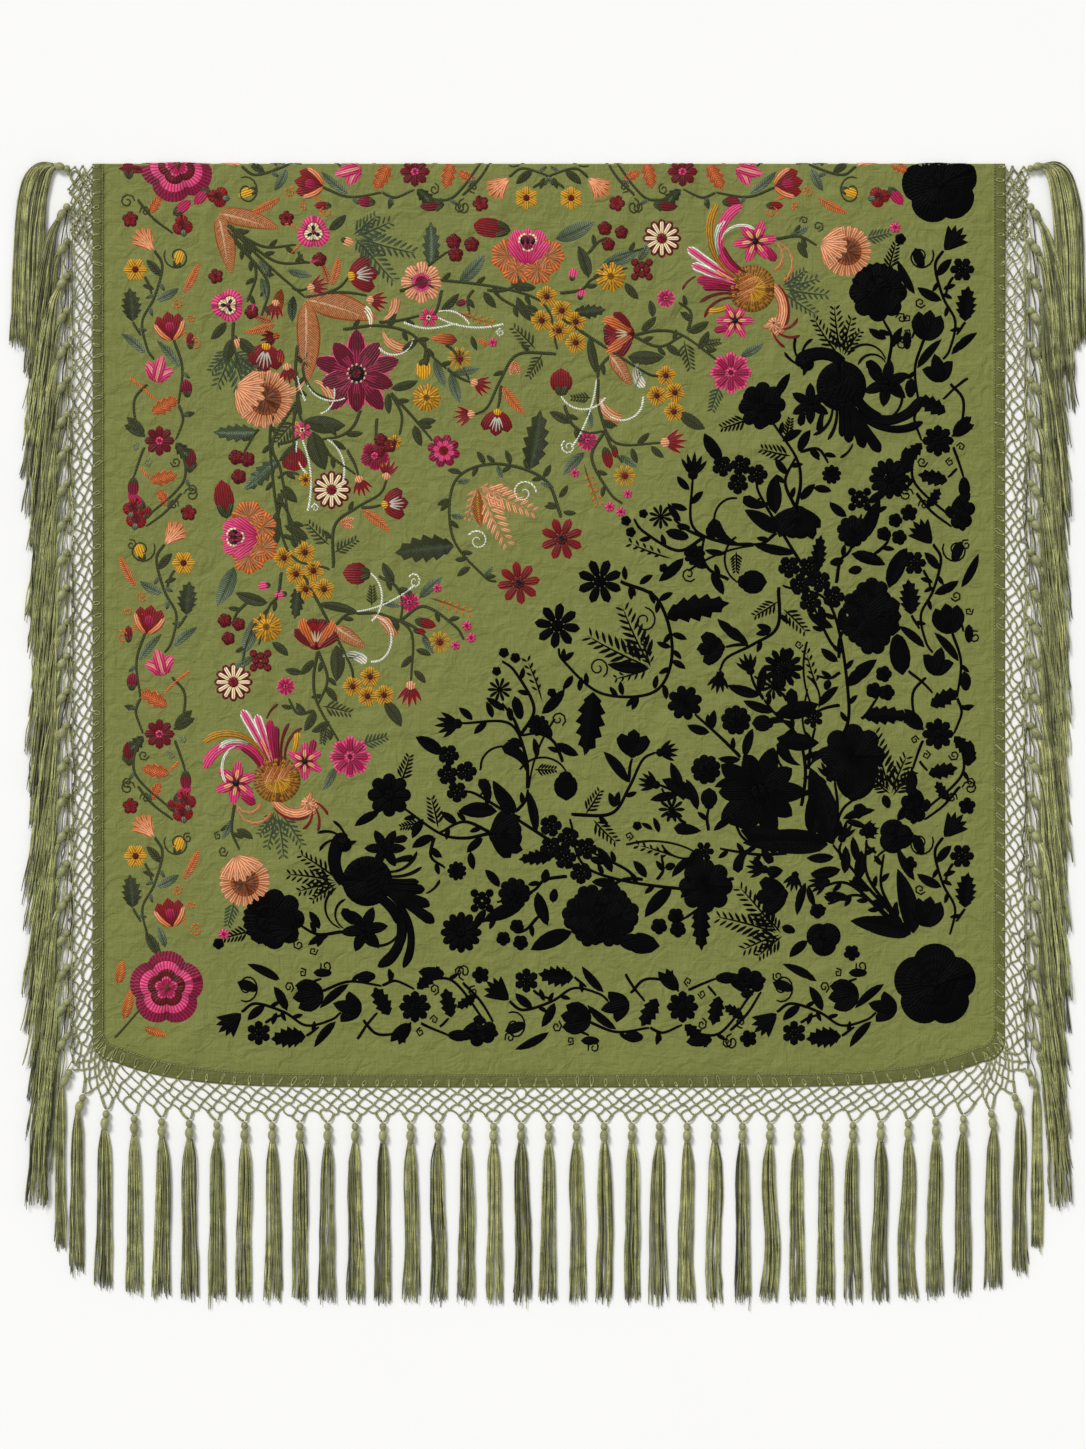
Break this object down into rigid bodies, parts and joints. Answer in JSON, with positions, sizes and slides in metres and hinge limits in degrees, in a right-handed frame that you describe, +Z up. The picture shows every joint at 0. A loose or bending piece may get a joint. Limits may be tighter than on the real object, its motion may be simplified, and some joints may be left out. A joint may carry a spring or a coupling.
{
  "type": "flamenco shawl",
  "caption": "Large square embroidered shawl laid flat, its top border turned under, with a knotted net and long tassels along its sides and lower edge.",
  "frame": {"origin": "on the surface that the shawl lies on, in the middle of its outline from above", "axes": "+Z up out of the cloth's face, +Y along the sides towards the folded edge, +X to the right seen from above"},
  "size_m": [1.6442, 1.7432, 0.0122],
  "materials": {
    "silk_ground": "olive green silk crepe with a soft sheen",
    "silk_hem": "the same silk folded over and stitched, a little darker",
    "silk_net": "twisted silk cord, knotted, softly glossy",
    "silk_fringe": "twisted silk strands, glossy, slightly wavy"
  },
  "bodies": {
    "root": {"ground_cloth": "silk_ground", "hem_left": "silk_hem", "hem_bottom": "silk_hem", "hem_right": "silk_hem", "net_left": "silk_net", "net_bottom": "silk_net", "net_right": "silk_net", "fringe_left": "silk_fringe", "fringe_bottom": "silk_fringe", "fringe_right": "silk_fringe"}
  },
  "joints": []
}
